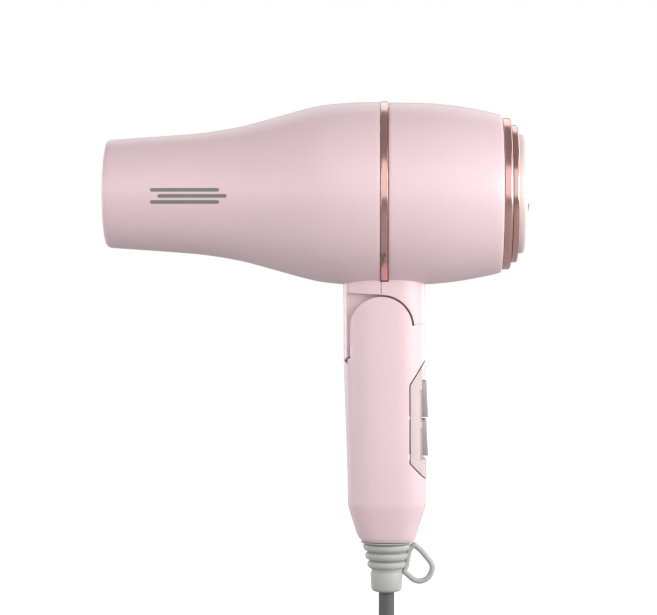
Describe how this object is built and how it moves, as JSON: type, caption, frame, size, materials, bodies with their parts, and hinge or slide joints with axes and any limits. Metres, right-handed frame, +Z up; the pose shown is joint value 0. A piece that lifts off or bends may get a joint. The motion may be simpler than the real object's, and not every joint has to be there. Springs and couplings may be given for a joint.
{
  "type": "hair dryer",
  "caption": "Folding hair dryer: round tapering barrel with nozzle and ribbed air intake, hinged on an oval grip with rocker switches, cord guard with hanging loop, and mains cord.",
  "frame": {"origin": "middle of the hand grip, on the mirror plane between the two handle shells", "axes": "+Z up along the handle towards the barrel, -X the way the air blows out of the nozzle, +X towards the air intake, +Y to the dryer's own right-hand side seen from the switch side (away from the usual viewer)"},
  "size_m": [0.1998, 0.1301, 0.3058],
  "materials": {
    "satin_pink": "satin, pale rose lacquer",
    "rose_gold": "bright rose-gold plating",
    "pale_metal": "brushed pale rose metal",
    "pale_panel": "semi-gloss",
    "rocker_grey": "satin",
    "soft_grey": "matt, slightly waxy",
    "cord_grey": "satin sheath",
    "black_plastic": "matt",
    "white_plastic": "matt",
    "steel": "plain",
    "dark_steel": "sintered, dull",
    "mica": "layered, dull sheen",
    "brass": "plain",
    "board_green": "lacquered laminate",
    "copper": "enamelled windings",
    "filter_mesh": "fine woven mesh",
    "lead_insulation": "fibre sleeving"
  },
  "bodies": {
    "handle": {"handle_shell_left": "satin_pink", "handle_shell_right": "satin_pink", "handle_screw_lower": "steel", "handle_screw_middle": "steel", "hinge_sleeve": "steel", "switch_panel": "pale_panel", "speed_switch_body": "black_plastic", "heat_switch_body": "black_plastic", "control_board": "board_green", "cord_guard": "soft_grey", "cord_clamp_left": "black_plastic", "cord_clamp_right": "black_plastic", "clamp_screw_front": "steel", "clamp_screw_rear": "steel", "cord_sheath_end": "cord_grey", "handle_lead": "lead_insulation", "power_cord": "cord_grey", "cord_coil": "cord_grey", "coil_tie": "black_plastic", "cord_tail": "cord_grey", "plug_body": "black_plastic", "plug_pin_left": "brass", "plug_pin_right": "brass"},
    "barrel": {"front_housing": "satin_pink", "rear_housing": "satin_pink", "trim_ring": "rose_gold", "outlet_grille": "black_plastic", "heater_sleeve": "mica", "mica_board_flat": "mica", "mica_board_upright": "mica", "heating_coil": "steel", "thermostat": "brass", "thermal_fuse": "black_plastic", "fan_duct": "white_plastic", "motor_can": "steel", "motor_end_cap": "black_plastic", "motor_magnets": "dark_steel", "barrel_lead": "lead_insulation"},
    "fan": {"fan_impeller": "black_plastic", "motor_shaft": "steel", "motor_rotor": "copper"},
    "speed_rocker": {"speed_rocker": "rocker_grey"},
    "heat_rocker": {"heat_rocker": "rocker_grey"},
    "intake_cover": {"intake_carrier": "black_plastic", "lint_filter": "filter_mesh", "intake_ring_outer": "rose_gold", "intake_ring_middle": "rose_gold", "intake_dome": "pale_metal", "intake_cap": "pale_metal"}
  },
  "joints": [
    {"name": "handle_fold", "type": "hinge", "parent": "handle", "child": "barrel", "pos_m": [-0.0018, 0, 0.0492], "axis": [0, -1, 0], "range_deg": [0, 80]},
    {"name": "fan_spin", "type": "hinge", "parent": "barrel", "child": "fan", "pos_m": [0, 0, 0.112], "axis": [1, 0, 0], "continuous": true},
    {"name": "speed_switch", "type": "hinge", "parent": "handle", "child": "speed_rocker", "pos_m": [0.0168, 0, 0.0152], "axis": [0, 1, 0], "range_deg": [0, 8]},
    {"name": "heat_switch", "type": "hinge", "parent": "handle", "child": "heat_rocker", "pos_m": [0.0168, 0, -0.0031], "axis": [0, 1, 0], "range_deg": [0, 8]},
    {"name": "intake_cover_pull", "type": "slide", "parent": "barrel", "child": "intake_cover", "axis": [1, 0, 0], "range_m": [0, 0.03]}
  ]
}
